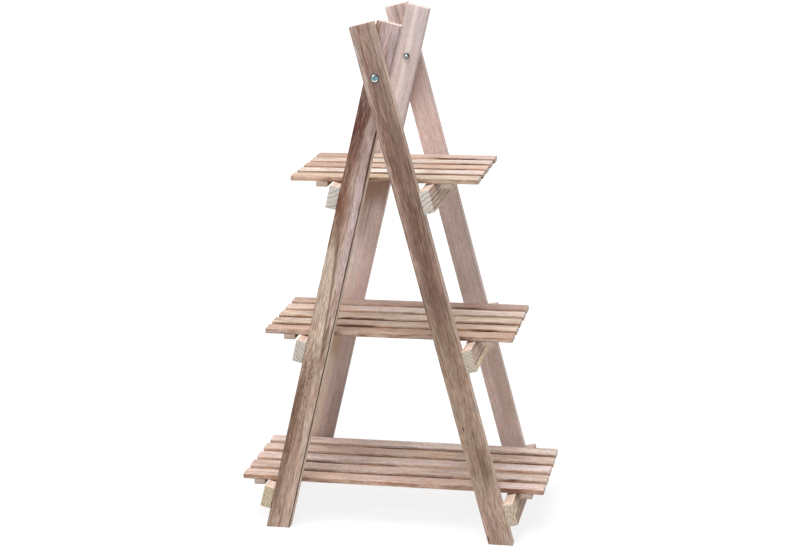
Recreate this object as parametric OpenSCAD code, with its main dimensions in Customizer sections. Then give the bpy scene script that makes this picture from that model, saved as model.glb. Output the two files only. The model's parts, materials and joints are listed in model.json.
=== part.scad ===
// Plant ladder stand. Two leg pairs cross like scissors on two bolts, and three slatted shelves
// sit loose on their cross rails. The shelves lift off, and then the frames fold flat.
// X runs along the shelves, Y across the stand and Z up. The origin is on the floor, under the middle.

/* [Legs] */
// Length of a leg along its middle line, from the top end to the floor
leg_length = 1000; // [900:5:1200]
// Width of a leg, on the face that shows from the front
leg_width = 45; // [36:1:60]
// Thickness of a leg
leg_thickness = 20; // [16:1:30]
// Lean of each leg from the vertical, in degrees
lean_angle = 14; // [11:0.5:18]
// Distance of the pivot bolt below the top end of a leg
pivot_from_top = 98; // [60:1:140]
// Chamfer along the edges of all timber
arris = 1; // [0.4:0.2:2]

/* [Rails] */
// Thickness of a cross rail, outwards from the leg's edge
rail_thickness = 20; // [16:1:30]
// Height of a cross rail, along the leg
rail_height = 43; // [34:1:60]

/* [Shelves] */
// Height of the bottom shelf's top face above the floor
bottom_shelf_height = 94; // [80:1:150]
// Rise from one shelf to the next
shelf_rise = 296; // [240:1:320]
// Number of slats in a shelf
slat_count = 5; // [3:1:7]
// Width of a slat
slat_width = 32; // [24:1:45]
// Thickness of a slat
slat_thickness = 10; // [8:0.5:16]
// Open gap between two slats
slat_gap = 16; // [6:1:24]
// Width of a cross batten under the slats
batten_width = 22; // [16:1:32]
// Thickness of a cross batten
batten_thickness = 10; // [8:0.5:16]
// Length of the top shelf's slats beyond its battens
top_overhang = 48; // [10:1:80]
// Length of the middle shelf's slats beyond its battens
middle_overhang = 36; // [10:1:80]
// Length of the bottom shelf's slats beyond its battens
bottom_overhang = 22; // [10:1:80]

/* [Pivot bolts] */
// Diameter of the bolt's shank
bolt_diameter = 6; // [5:0.5:8]
// Diameter of the bolt's domed head
bolt_head_diameter = 16; // [13:0.5:22]
// Height of the domed head above the wood
bolt_head_height = 3.8; // [2.5:0.1:5.5]
// Depth of the square neck under the head
bolt_neck_depth = 4; // [3:0.5:6]
// Width of the nut across its flats
nut_flats = 10; // [9:0.5:14]
// Height of the nut
nut_height = 5; // [4:0.5:8]
// Outer diameter of the washer under the nut
washer_diameter = 12; // [11:0.5:18]
// Thickness of the washer
washer_thickness = 1.6; // [1:0.1:2.5]
// Length of bolt that stands out of the nut
thread_end = 2.8; // [1:0.1:6]

/* [Nails] */
// Diameter of a rail nail
nail_diameter = 2.2; // [1.6:0.1:3]
// Depth that a rail nail reaches into the leg
nail_bite = 25; // [15:1:30]
// Distance of the rail nails from the rail's long edges
nail_inset = 11; // [7:0.5:14]
// Diameter of a shelf brad
brad_diameter = 1.4; // [1:0.1:2]
// Wood left over the point of a shelf brad
brad_cover = 4; // [2:0.5:6]

/* [Clearances] */
// Running gap between the two legs of a crossing
leg_gap = 0.3; // [0.1:0.1:1]
// Running gap between the inner leg and the washer
washer_gap = 0.3; // [0.1:0.1:1]
// Radial clearance of the bolt in the inner leg
pivot_clearance = 0.08; // [0.02:0.02:0.1]
// Gap between a rail's top corner and the slats that it carries
seat_gap = 0.2; // [0.1:0.1:1]
// Gap between a shelf's front edge and the end of the bolt
shelf_side_gap = 1.3; // [0.5:0.1:6]
// Gap between the top shelf's battens and its rails
top_batten_gap = 12; // [4:0.5:20]
// Gap between the middle shelf's battens and its rails
middle_batten_gap = 11; // [4:0.5:20]
// Gap between the bottom shelf's battens and its rails
bottom_batten_gap = 8; // [4:0.5:20]

/* [Hidden] */
$fn = 48;

// One entry for each shelf, from the bottom up.
levels = [0 : 2];
level_names = ["bottom", "middle", "top"];
overhangs = [bottom_overhang, middle_overhang, top_overhang];
batten_gaps = [bottom_batten_gap, middle_batten_gap, top_batten_gap];
slats = [1 : slat_count];
side_names = ["left", "right"];

// Frame
pivot_height = (leg_length - pivot_from_top) * cos(lean_angle);
rail_outside = leg_width / 2 + rail_thickness;

// Across the stand, from the shelf outwards
slat_pitch = slat_width + slat_gap;
shelf_depth = slat_count * slat_pitch - slat_gap;
nut_stack = washer_gap + washer_thickness + nut_height + thread_end;
inner_leg_y = shelf_depth / 2 + shelf_side_gap + nut_stack + leg_thickness / 2;
outer_leg_y = inner_leg_y + leg_thickness + leg_gap;
inner_rail_length = 2 * inner_leg_y + leg_thickness;
outer_rail_length = 2 * outer_leg_y + leg_thickness;

// Bolt, nut and nails
bolt_length = 2 * leg_thickness + leg_gap + nut_stack;
dome_radius = (pow(bolt_head_diameter / 2, 2) + pow(bolt_head_height, 2)) / (2 * bolt_head_height);
bolt_point = bolt_diameter / 10;
nail_head_diameter = 2.2 * nail_diameter;
nail_head_height = nail_diameter / 3;
brad_head_diameter = 1.8 * brad_diameter;
brad_head_height = brad_diameter / 3;
nail_length = rail_thickness + nail_bite;
brad_length = batten_thickness + slat_thickness - brad_cover;

// Height of a shelf's top face.
function shelf_height(level) = bottom_shelf_height + level * shelf_rise;

// Distance of a rail's top face below the pivot, along the leg. The rail's chamfered outer corner
// comes just under the slats.
function rail_drop(level) =
    (pivot_height + (rail_outside - arris) * sin(lean_angle)
        - (shelf_height(level) - slat_thickness - seat_gap)) / cos(lean_angle);

// Distance of a rail's top outer corner from the middle of the stand.
function rail_corner_x(level) = rail_drop(level) * sin(lean_angle) + rail_outside * cos(lean_angle);

function batten_x(level) = rail_corner_x(level) + batten_gaps[level] + batten_width / 2;
function shelf_length(level) = 2 * (batten_x(level) + batten_width / 2 + overhangs[level]);
function slat_y(slat) = (slat - (slat_count + 1) / 2) * slat_pitch;

// Node names of the repeated pieces
function rail_name(frame, level) = str(frame, "_", level_names[level], "_rail");
function slat_name(level, slat) = str(level_names[level], "_shelf_slat_", slat);
function batten_name(level, side) = str(level_names[level], "_shelf_", side_names[side], "_batten");
function brads_name(level) = str(level_names[level], "_shelf_brads");

// Frame axes: Z runs up along the legs from the pivot, X out towards the rails.
module outer_frame() {
    translate([0, 0, pivot_height]) rotate([0, -lean_angle, 0]) children();
}

module inner_frame() {
    mirror([1, 0, 0]) outer_frame() children();
}

module far_side() {
    mirror([0, 1, 0]) children();
}

// Bar of timber along Z with all four long edges chamfered.
module timber(length, size_x, size_y) {
    x = size_x / 2;
    y = size_y / 2;
    linear_extrude(length)
        polygon([
            [x, arris - y], [x, y - arris], [x - arris, y], [arris - x, y],
            [-x, y - arris], [-x, arris - y], [arris - x, -y], [x - arris, -y]
        ]);
}

// Nail with its head at Z = 0 and its point down. It also cuts its own hole.
module nail(length, diameter, head_diameter, head_height) {
    point = 2 * diameter;
    rotate_extrude()
        polygon([
            [0, 0], [head_diameter / 2, 0], [head_diameter / 2, -head_height],
            [diameter / 2, -head_height], [diameter / 2, point - length], [0, -length]
        ]);
}

// Everything below the floor, in frame axes.
module below_floor() {
    rotate([0, lean_angle, 0])
        translate([-leg_length / 2, -outer_rail_length / 2, -pivot_height - leg_length])
            cube([leg_length, outer_rail_length, leg_length]);
}

// Nails of one frame: two at each end of each rail, into the edges of the legs at leg_y.
module rail_nails(leg_y) {
    for (level = levels, side = [-1, 1], edge = [nail_inset, rail_height - nail_inset])
        translate([rail_outside, side * leg_y, -rail_drop(level) - edge])
            rotate([0, 90, 0])
                nail(nail_length, nail_diameter, nail_head_diameter, nail_head_height);
}

// Leg of the near side, in frame axes, with its top cut square and its foot cut level.
module leg(leg_y) {
    difference() {
        translate([0, -leg_y, -leg_length])
            timber(leg_length + pivot_from_top, leg_width, leg_thickness);
        below_floor();
        rail_nails(leg_y);
        children();
    }
}

// Round hole through the inner leg, in which the frame turns on the bolt.
module pivot_hole() {
    translate([0, -inner_leg_y, 0])
        rotate([90, 0, 0])
            cylinder(d = bolt_diameter + 2 * pivot_clearance, h = 2 * leg_thickness, center = true);
}

module outer_leg() {
    color("rosybrown") outer_frame() leg(outer_leg_y) pivot_bolt_body();
}

module inner_leg() {
    color("tan") inner_frame() leg(inner_leg_y) pivot_hole();
}

// Rail in frame axes, on the outer edges of its frame's legs.
module rail(level, length, leg_y) {
    difference() {
        translate([rail_outside - rail_thickness / 2, length / 2, -rail_drop(level) - rail_height / 2])
            rotate([90, 0, 0]) timber(length, rail_thickness, rail_height);
        rail_nails(leg_y);
    }
}

module outer_rail(level) {
    color("wheat") outer_frame() rail(level, outer_rail_length, outer_leg_y);
}

module inner_rail(level) {
    color("wheat") inner_frame() rail(level, inner_rail_length, inner_leg_y);
}

module outer_nails() {
    color("lightslategray") outer_frame() rail_nails(outer_leg_y);
}

module inner_nails() {
    color("lightslategray") inner_frame() rail_nails(inner_leg_y);
}

// Places a piece of the near pivot: Z = 0 on the outer leg's face and Z inwards along the bolt.
module pivot_axis(depth) {
    translate([0, depth - outer_leg_y - leg_thickness / 2, 0]) rotate([-90, 0, 0]) children();
}

// Bolt with a domed head, a square neck that grips the wood and a chamfered end.
module pivot_bolt_body() {
    pivot_axis(0) {
        rotate_extrude($fn = 96) {
            intersection() {
                translate([0, dome_radius - bolt_head_height]) circle(r = dome_radius);
                translate([0, -bolt_head_height]) square([bolt_head_diameter / 2, bolt_head_height]);
            }
            polygon([
                [0, -bolt_head_height / 2], [bolt_diameter / 2, -bolt_head_height / 2],
                [bolt_diameter / 2, bolt_length - bolt_point],
                [bolt_diameter / 2 - bolt_point, bolt_length], [0, bolt_length]
            ]);
        }
        translate([-bolt_diameter / 2, -bolt_diameter / 2, -bolt_head_height / 4])
            cube([bolt_diameter, bolt_diameter, bolt_neck_depth + bolt_head_height / 4]);
    }
}

module pivot_bolt() {
    color("silver") outer_frame() pivot_bolt_body();
}

module nut_washer() {
    color("silver") outer_frame()
        pivot_axis(bolt_length - thread_end - nut_height - washer_thickness)
            difference() {
                cylinder(d = washer_diameter, h = washer_thickness);
                translate([0, 0, -1]) cylinder(d = bolt_diameter, h = washer_thickness + 2);
            }
}

// Hexagonal nut whose corners are turned down to a cone on both faces.
module pivot_nut() {
    corner = nut_flats / cos(30) / 2;
    turned = corner - nut_flats / 2;
    color("silver") outer_frame()
        pivot_axis(bolt_length - thread_end - nut_height)
            difference() {
                intersection() {
                    cylinder(r = corner, h = nut_height, $fn = 6);
                    rotate_extrude()
                        polygon([
                            [0, 0], [nut_flats / 2, 0], [corner, turned / 2],
                            [corner, nut_height - turned / 2], [nut_flats / 2, nut_height], [0, nut_height]
                        ]);
                }
                translate([0, 0, -1]) cylinder(d = bolt_diameter, h = nut_height + 2);
            }
}

// Brads of one shelf, driven up through the battens into the slats.
module brads(level) {
    color("lightslategray")
        for (side = [-1, 1], slat = slats)
            translate([
                side * batten_x(level), slat_y(slat),
                shelf_height(level) - slat_thickness - batten_thickness
            ])
                rotate([180, 0, 0])
                    nail(brad_length, brad_diameter, brad_head_diameter, brad_head_height);
}

module slat(level, slat) {
    color("peachpuff")
        difference() {
            translate([-shelf_length(level) / 2, slat_y(slat), shelf_height(level) - slat_thickness / 2])
                rotate([0, 90, 0]) timber(shelf_length(level), slat_thickness, slat_width);
            brads(level);
        }
}

// Batten under one end of a shelf, just outside the rail there: side 0 is left and 1 is right.
module batten(level, side) {
    color("burlywood")
        difference() {
            translate([
                (2 * side - 1) * batten_x(level), shelf_depth / 2,
                shelf_height(level) - slat_thickness - batten_thickness / 2
            ])
                rotate([90, 0, 0]) timber(shelf_depth, batten_width, batten_thickness);
            brads(level);
        }
}

outer_leg();  // near_outer_leg
far_side() outer_leg();  // far_outer_leg
inner_leg();  // near_inner_leg
far_side() inner_leg();  // far_inner_leg
for (level = levels) {
    outer_rail(level);
    inner_rail(level);
}
outer_nails();  // outer_frame_nails
inner_nails();  // inner_frame_nails
pivot_bolt();  // near_pivot_bolt
nut_washer();  // near_nut_washer
pivot_nut();  // near_pivot_nut
far_side() pivot_bolt();  // far_pivot_bolt
far_side() nut_washer();  // far_nut_washer
far_side() pivot_nut();  // far_pivot_nut
for (level = levels, number = slats)
    slat(level, number);
for (level = levels, side = [0, 1])
    batten(level, side);
for (level = levels)
    brads(level);
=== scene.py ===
# Plant ladder stand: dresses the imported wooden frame, its loose shelves and its pivot bolts.
import json
import math
import random

import bmesh
import bpy
from mathutils import Matrix, Vector

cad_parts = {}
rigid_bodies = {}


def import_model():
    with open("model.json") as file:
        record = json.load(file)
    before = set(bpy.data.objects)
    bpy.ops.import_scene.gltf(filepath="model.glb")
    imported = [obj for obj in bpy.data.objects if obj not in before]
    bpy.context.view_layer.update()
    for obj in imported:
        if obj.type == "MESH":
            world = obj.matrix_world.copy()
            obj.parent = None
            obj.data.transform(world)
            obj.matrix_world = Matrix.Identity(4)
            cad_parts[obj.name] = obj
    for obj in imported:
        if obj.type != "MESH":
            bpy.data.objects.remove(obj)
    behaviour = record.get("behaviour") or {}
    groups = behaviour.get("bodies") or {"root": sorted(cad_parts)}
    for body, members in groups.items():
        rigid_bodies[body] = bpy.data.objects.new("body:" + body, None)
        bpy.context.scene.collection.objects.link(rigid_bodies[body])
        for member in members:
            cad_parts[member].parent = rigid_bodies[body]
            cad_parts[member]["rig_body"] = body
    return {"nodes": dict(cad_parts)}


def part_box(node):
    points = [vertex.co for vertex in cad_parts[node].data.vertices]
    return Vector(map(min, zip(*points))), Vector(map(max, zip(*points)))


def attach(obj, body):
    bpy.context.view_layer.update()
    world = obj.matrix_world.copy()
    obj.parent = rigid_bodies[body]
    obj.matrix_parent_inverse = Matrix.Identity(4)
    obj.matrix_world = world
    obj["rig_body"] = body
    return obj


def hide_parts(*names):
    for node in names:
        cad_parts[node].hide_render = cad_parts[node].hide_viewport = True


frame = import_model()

bpy.ops.object.select_all(action="DESELECT")
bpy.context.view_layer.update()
nodes = frame["nodes"]
upright = Vector((0, 0, 1))
toBack = Vector((0, 1, 0))
toRight = Vector((1, 0, 0))
mm = 0.001


# Camera

cameraLook = {
    "place": (0.68844, -3.22943, 1.35015),
    "turn": 11.98,  # degrees to the left
    "lookDown": 14.84,
    "roll": -1.284,
    "lens": 80.43,
    "sensor": 36,
    "farthest": 100,
}


def addCamera(look):
    data = bpy.data.cameras.new("photoCamera")
    data.lens = look["lens"]
    data.sensor_width = look["sensor"]
    data.clip_end = look["farthest"]
    camera = bpy.data.objects.new("photoCamera", data)
    turn = Matrix.Rotation(math.radians(look["turn"]), 4, "Z")
    tilt = Matrix.Rotation(math.radians(90 - look["lookDown"]), 4, "X")
    roll = Matrix.Rotation(math.radians(look["roll"]), 4, "Z")
    camera.matrix_world = Matrix.Translation(look["place"]) @ turn @ tilt @ roll
    bpy.context.scene.collection.objects.link(camera)
    bpy.context.scene.camera = camera


addCamera(cameraLook)
print("camera placed")


# Shaders


def tone(red, green, blue):
    # linear colour of a screen colour given in 0 to 255
    linear = [((c / 255 + 0.055) / 1.055) ** 2.4 if c > 10 else c / 3295 for c in (red, green, blue)]
    return (*linear, 1)


class Wire:
    # an output of a shader node, which sums can be written with
    def __init__(self, paint, socket):
        self.paint = paint
        self.socket = socket

    def maths(self, operation, *values):
        return self.paint.node("Math", {"operation": operation}, dict(enumerate(values)))

    def __add__(self, other):
        return self.maths("ADD", self, other)

    def __radd__(self, other):
        return self.maths("ADD", other, self)

    def __sub__(self, other):
        return self.maths("SUBTRACT", self, other)

    def __rsub__(self, other):
        return self.maths("SUBTRACT", other, self)

    def __mul__(self, other):
        return self.maths("MULTIPLY", self, other)

    def __rmul__(self, other):
        return self.maths("MULTIPLY", other, self)

    def __truediv__(self, other):
        return self.maths("DIVIDE", self, other)

    def __pow__(self, other):
        return self.maths("POWER", self, other)

    def __abs__(self):
        return self.maths("ABSOLUTE", self)

    def most(self, other):
        return self.maths("MAXIMUM", self, other)

    def least(self, other):
        return self.maths("MINIMUM", self, other)

    def whole(self):
        return self.maths("FLOOR", self)

    def rise(self, low, high):
        # 0 below low and 1 above high, with a soft step between them
        return self.paint.node(
            "MapRange", {"interpolation_type": "SMOOTHSTEP"},
            {"Value": self, "From Min": low, "From Max": high, "To Min": 0, "To Max": 1},
        )

    def within(self, low, high, fade):
        return self.rise(low - fade, low + fade) * (1 - self.rise(high - fade, high + fade))


class Paint:
    # the nodes of a material or a world under construction
    def __init__(self, owner):
        owner.use_nodes = True
        self.owner = owner
        self.tree = owner.node_tree
        self.tree.nodes.clear()

    def node(self, kind, settings, sockets, output=0):
        made = self.tree.nodes.new("ShaderNode" + kind)
        for name, value in settings.items():
            setattr(made, name, value)
        for name, value in sockets.items():
            if isinstance(value, Wire):
                self.tree.links.new(value.socket, made.inputs[name])
            else:
                made.inputs[name].default_value = value
        return Wire(self, made.outputs[output]) if made.outputs else None

    def blend(self, amount, first, second, kind="MIX"):
        # a colour mix takes its colours at sockets 6 and 7 and gives one at 2
        settings = {"data_type": "RGBA", "blend_type": kind}
        return self.node("Mix", settings, {0: amount, 6: first, 7: second}, 2)

    def multiply(self, amount, first, second):
        return self.blend(amount, first, second, "MULTIPLY")

    def parts(self, vector):
        split = self.node("SeparateXYZ", {}, {0: vector})
        return [Wire(self, output) for output in split.socket.node.outputs]

    def noise(self, place, spread, seed, detail=2.0, roughness=0.5, output=0):
        # spread is the size of a patch along each axis
        scaled = self.node(
            "VectorMath", {"operation": "MULTIPLY"}, {0: place, 1: [1 / size for size in spread]}
        )
        return self.node(
            "TexNoise", {"noise_dimensions": "4D"},
            {"Vector": scaled, "W": seed, "Scale": 1, "Detail": detail, "Roughness": roughness},
            output,
        )

    def surface(self, shader):
        self.node("OutputMaterial", {}, {"Surface": shader})
        return self.owner


# Studio

studioLook = {
    "sky": 0.5,  # strength of the light from all round
    "keyLamp": {"place": (-0.95, -3.6, 11.8), "power": 1480, "size": 9.5},
    "fillLamp": {"place": (1.6, -4.2, 1.5), "power": 8, "size": 3.0},
    "lampAim": (0, 0, 0.45),
    "floorWhite": 0.7,
    "floorGlow": 1.16,
    "floorSize": 80,
    "floorShadow": 0.3,  # share of the real shadow that the white floor shows
    "shadowNear": 0.6,  # metres from the stand over which the shadow's share fades out
    "shadowFar": 1.6,
}


def seenDirectly(paint):
    # camera, mirror and glass rays, which see the background as plain white
    rays = paint.node("LightPath", {}, {}).socket.node.outputs
    seen = [Wire(paint, rays[name]) for name in ("Is Camera Ray", "Is Glossy Ray", "Is Transmission Ray")]
    return seen[0].most(seen[1]).most(seen[2])


def addSky(look):
    world = bpy.data.worlds.new("studioSky")
    bpy.context.scene.world = world
    paint = Paint(world)
    strength = seenDirectly(paint) * (1 - look["sky"]) + look["sky"]
    sky = paint.node("Background", {}, {"Color": (1, 1, 1, 1), "Strength": strength})
    paint.node("OutputWorld", {}, {"Surface": sky})


def addFloor(look):
    bpy.ops.mesh.primitive_plane_add(size=look["floorSize"], location=(0, 0, 0))
    floor = bpy.context.object
    floor.name = "studioFloor"
    paint = Paint(bpy.data.materials.new("studioFloor"))
    white = look["floorWhite"]
    matt = paint.node("BsdfDiffuse", {}, {"Color": (white, white, white, 1)})
    glow = paint.node("Emission", {}, {"Color": (1, 1, 1, 1), "Strength": look["floorGlow"]})
    place = paint.node("TexCoord", {}, {}, "Object")
    distance = paint.node("VectorMath", {"operation": "LENGTH"}, {0: place}, "Value")
    near = 1 - distance.rise(look["shadowNear"], look["shadowFar"])
    share = seenDirectly(paint) * (1 - near * look["floorShadow"])
    mixed = paint.node("MixShader", {}, {0: share, 1: matt, 2: glow})
    floor.data.materials.append(paint.surface(mixed))


def addLamp(name, look, aim):
    data = bpy.data.lights.new(name, "AREA")
    data.shape = "DISK"
    data.energy = look["power"]
    data.size = look["size"]
    lamp = bpy.data.objects.new(name, data)
    lamp.location = look["place"]
    lamp.rotation_euler = (Vector(look["place"]) - Vector(aim)).to_track_quat("Z", "Y").to_euler()
    bpy.context.scene.collection.objects.link(lamp)


addSky(studioLook)
addFloor(studioLook)
for lampName in ("keyLamp", "fillLamp"):
    addLamp(lampName, studioLook[lampName], studioLook["lampAim"])
print("studio lit")


# Wood

grainLook = {
    "pith": (90, 30),  # mm from the board's middle to the middle of the tree, across and through
    "pithDrift": (0.0, 0.0),  # mm for each mm along the board
    "ringGap": 4.5,
    "sway": 12,  # mm that the grain wanders
    "shade": 0.24,
    "ringDepth": 0.5,
    "streakDepth": 0.55,
    "strandDepth": 0.4,
    "bandDepth": 0.5,
    "mottleDepth": 0.25,
    "poreDepth": 0.35,
    "lineDepth": 0.3,  # thin brown lines that run far along the board
    "fineDepth": 0.7,  # fine fibres over all other tones
    "fibre": (2.3, 2.3, 16),  # mm across, through and along, of the coarser fibres and of the finer
    "grit": (1.1, 1.1, 6),
    "hueDepth": 0.35,  # patches that lean to brown or to grey
    "pale": (188, 160, 145),
    "deep": (128, 98, 82),
    "tint": (170, 140, 135),
    "tintDepth": 0.5,
    "end": (190, 176, 160),
    "endDeep": (150, 128, 105),
    "endStain": 0.35,
    # side: partly the wood's own tone, partly painted light on the narrow faces that the lamps light more
    "side": None,  # colour that the two narrow long faces lean to
    "sideDepth": 0.0,
    # front and frontDeep: the front face darkens below the lip, partly a stained edge and partly painted
    # shade in the gap behind the slat in front
    "front": None,  # colour of the face towards the front
    "frontDeep": None,
    "frontDepth": 0.0,
    "frontLip": 3.2,  # height above the board's middle where the darker front begins
    "arris": (92, 70, 58),
    "arrisDepth": 0.25,
    "marks": [],
    "rough": 0.62,
    "gloss": 0.32,
    "bump": 0.55,
    "bumpDepth": 0.35,  # mm
}
grainSize = {
    # mm across, through and along the board
    "drift": (70, 70, 300),
    "streak": (5, 5, 150),
    "band": (16, 16, 420),
    "mottle": (11, 11, 75),
    "strand": (2.3, 2.3, 27),
    "pore": (0.75, 0.75, 14),
    "speckle": (2.6, 2.6, 9),
    "blotch": (9, 9, 42),
    "line": (2.2, 2.2, 150),
    "hue": (10, 10, 70),
    "scratch": (14, 0.8, 40),
    "stain": (7, 7, 7),
}
markEdge = {"wander": 8, "wanderAlong": 60, "fade": 3, "fadeAlong": 30, "ringFade": 0.5}  # mm
grainTint = {
    # what the wood's linear colour is multiplied by
    "darkFibre": (0.51, 0.455, 0.41, 1),
    "lightFibre": (1.49, 1.54, 1.58, 1),
    "line": (0.52, 0.34, 0.23, 1),
    "brown": (1.12, 0.985, 0.91, 1),
    "grey": (0.89, 1.01, 1.09, 1),
    "stain": (0.78, 0.6, 0.4, 1),
}


def markAt(along, across, colour, depth, **edge):
    # a patch of another tone, from and to along and across the board, with what differs from markEdge
    return {"along": along, "across": across, "tone": colour, "depth": depth, **markEdge, **edge}


def markMask(wood, mark):
    # where a mark lies on the board, with edges that wander and fade
    along = wood["z"] + (wood["stagger"] - 0.5) * mark["wanderAlong"]
    across = wood["x"] + (wood["swerve"] - 0.5) * mark["wander"]
    mask = across.within(*mark["across"], mark["fade"])
    mask = mask * along.within(*mark["along"], mark["fadeAlong"])
    if "facing" in mark:
        mask = mask * wood[mark["facing"]]
    if "rings" in mark:
        mask = mask * wood["radius"].within(*mark["rings"], mark["ringFade"])
    if "speckled" in mark:
        mask = mask * (wood["speckle"] * mark["speckled"] + (1 - mark["speckled"]))
    if "streaky" in mark:
        strands = wood["strand"].rise(0.38, 0.6)
        mask = mask * (strands * mark["streaky"] + (1 - mark["streaky"]))
    return mask * mark["depth"]


def woodMaterial(name, start, along, across, size, seed, look):
    # start is on the board's middle line where z is 0; size is the board's width and thickness in mm
    look = {**grainLook, **look}
    paint = Paint(bpy.data.materials.new(name))
    through = along.cross(across)
    turn = Matrix((across, through, along)).transposed().to_euler()
    coordinates = paint.node("TexCoord", {}, {}, "Object")
    normal = paint.node("TexCoord", {}, {}, "Normal")
    place = paint.node(
        "Mapping", {"vector_type": "TEXTURE"},
        {"Vector": coordinates, "Location": start, "Rotation": turn, "Scale": (mm, mm, mm)},
    )
    x, y, z = paint.parts(place)

    def facing(direction, low=0.45, high=0.8):
        dot = paint.node("VectorMath", {"operation": "DOT_PRODUCT"}, {0: normal, 1: direction}, "Value")
        return dot.rise(low, high)

    endFace = facing(along, 0.55).most(facing(-along, 0.55))
    sideFace = facing(across).most(facing(-across))

    # the grain wanders a little to both sides on its way along the board
    drift = paint.noise(place, grainSize["drift"], seed, 1.5, 0.45, "Color")
    centred = paint.node("VectorMath", {"operation": "SUBTRACT"}, {0: drift, 1: (0.5, 0.5, 0.5)})
    sway = look["sway"]
    flow = paint.node(
        "VectorMath", {"operation": "MULTIPLY_ADD"}, {0: centred, 1: (sway, sway, 0), 2: place}
    )
    swerve, raggedness = paint.parts(drift)[::2]
    flowX, flowY = paint.parts(flow)[:2]

    # year rings: distance from a leaning pith
    pithX, pithY = look["pith"]
    driftX, driftY = look["pithDrift"]
    ringX = flowX - z * driftX - pithX
    ringY = flowY - z * driftY - pithY
    radius = (ringX * ringX + ringY * ringY) ** 0.5
    streak = paint.noise(flow, grainSize["streak"], seed + 3, 4, 0.62)
    turns = radius / look["ringGap"] + (streak - 0.5) * 0.8
    ring = turns.whole()
    inRing = turns - ring
    chance = paint.node("TexWhiteNoise", {"noise_dimensions": "1D"}, {"W": ring + seed * 7.3})
    lateWood = inRing.rise(0.25, 0.9) * (1 - inRing.rise(0.93, 1.0)) * (chance * 0.75 + 0.25)
    ringLine = inRing.within(0.74, 0.95, 0.07) * (chance * 0.5 + 0.5)

    # bands and patches of colour, wider than the rings, and strands finer than them. The noises keep
    # close to 0.5, so each is spread out before its own depth weighs it.
    bands = paint.noise(flow, grainSize["band"], seed + 11, 3, 0.55, "Color")
    band, stagger, tintBand = paint.parts(bands)
    mottle = paint.noise(flow, grainSize["mottle"], seed + 13, 3, 0.6)
    strand = paint.noise(flow, grainSize["strand"], seed + 23, 4, 0.66)
    pores = paint.noise(flow, grainSize["pore"], seed + 17, 2, 0.6).rise(0.56, 0.72)
    speckle = paint.noise(flow, grainSize["speckle"], seed + 43, 3, 0.7).rise(0.38, 0.6)

    wood = {
        "x": x,
        "z": z,
        "radius": radius + (strand - 0.5) * 2,
        "strand": strand,
        "speckle": speckle,
        "swerve": swerve,
        "stagger": stagger,
        "front": facing(Vector((0, -1, 0))),
        "top": facing(upright),
        "wide": facing(through).most(facing(-through)),
    }
    depth = lateWood * look["ringDepth"]
    depth = depth + (streak - 0.5) * 2.2 * look["streakDepth"]
    depth = depth + (strand.rise(0.3, 0.7) - 0.5) * 1.5 * look["strandDepth"]
    depth = depth + (band - 0.5) * 2.4 * look["bandDepth"]
    depth = depth + (mottle - 0.5) * 2.2 * look["mottleDepth"]
    depth = depth + pores * look["poreDepth"] * 0.5 + look["shade"]
    colour = paint.blend(depth.most(0).least(1), tone(*look["pale"]), tone(*look["deep"]))
    tinted = tintBand.rise(0.38, 0.66) * look["tintDepth"]
    colour = paint.blend(tinted, colour, paint.multiply(0.5, tone(*look["tint"]), colour))
    colour = paint.blend(tinted * 0.5, colour, tone(*look["tint"]))
    # the narrow long faces get a paler tone: partly the wood's own tone, partly painted light
    if look["side"]:
        paleSideAndLight = paint.blend((streak - 0.3) * 1.2, tone(*look["side"]), colour)
        colour = paint.blend(sideFace * look["sideDepth"], colour, paleSideAndLight)
    # the lower part of the front face is darker: partly a stained edge, partly painted shade where the slat
    # in front hides it
    if look["front"]:
        blotch = paint.noise(place, grainSize["blotch"], seed + 31, 3, 0.6)
        frontDepth = blotch.rise(0.4, 0.64) * look["frontDepth"] + (strand - 0.5) * 1.2
        frontStainAndShade = paint.blend(frontDepth, tone(*look["front"]), tone(*look["frontDeep"]))
        lip = look["frontLip"] + (0.5 - blotch) * 9
        under = 1 - (y - lip).rise(-0.8, 0.8)
        colour = paint.blend(wood["front"] * under, colour, frontStainAndShade)
    for mark in look["marks"]:
        colour = paint.blend(markMask(wood, mark), colour, tone(*mark["tone"]))

    # fine fibres, thin brown lines and patches of another hue lie over all tones
    fibre = paint.noise(flow, look["fibre"], seed + 29, 3, 0.8).rise(0.36, 0.64)
    grit = paint.noise(flow, look["grit"], seed + 53, 1, 0.5).rise(0.36, 0.64)
    fine = fibre * 0.5 + grit * 0.35 + strand.rise(0.34, 0.66) * 0.25 - 0.55
    fine = fine * look["fineDepth"] + 0.5
    fineTint = paint.blend(fine, grainTint["darkFibre"], grainTint["lightFibre"])
    colour = paint.multiply(1, colour, fineTint)
    lines = paint.noise(flow, grainSize["line"], seed + 47, 3, 0.55).rise(0.55, 0.68)
    colour = paint.multiply(lines * look["lineDepth"], colour, grainTint["line"])
    patch = paint.noise(place, grainSize["hue"], seed + 37, 1.5, 0.5).rise(0.35, 0.65)
    patch = (patch - 0.5) * look["hueDepth"] + 0.5
    hueTint = paint.blend(patch, grainTint["brown"], grainTint["grey"])
    colour = paint.multiply(1, colour, hueTint)

    # sawn ends, with rings as arcs and fine saw scratches
    scratch = paint.noise(place, grainSize["scratch"], seed + 41, 3, 0.6)
    endDepth = ringLine * 0.75 + (scratch - 0.5) * 1.1 + (strand - 0.5) * 0.6 + 0.12
    endTone = paint.blend(endDepth.most(0).least(1), tone(*look["end"]), tone(*look["endDeep"]))
    stain = paint.noise(place, grainSize["stain"], seed + 59, 2, 0.5).rise(0.48, 0.66)
    endTone = paint.multiply(stain * look["endStain"], endTone, grainTint["stain"])
    colour = paint.blend(endFace, colour, endTone)

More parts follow.
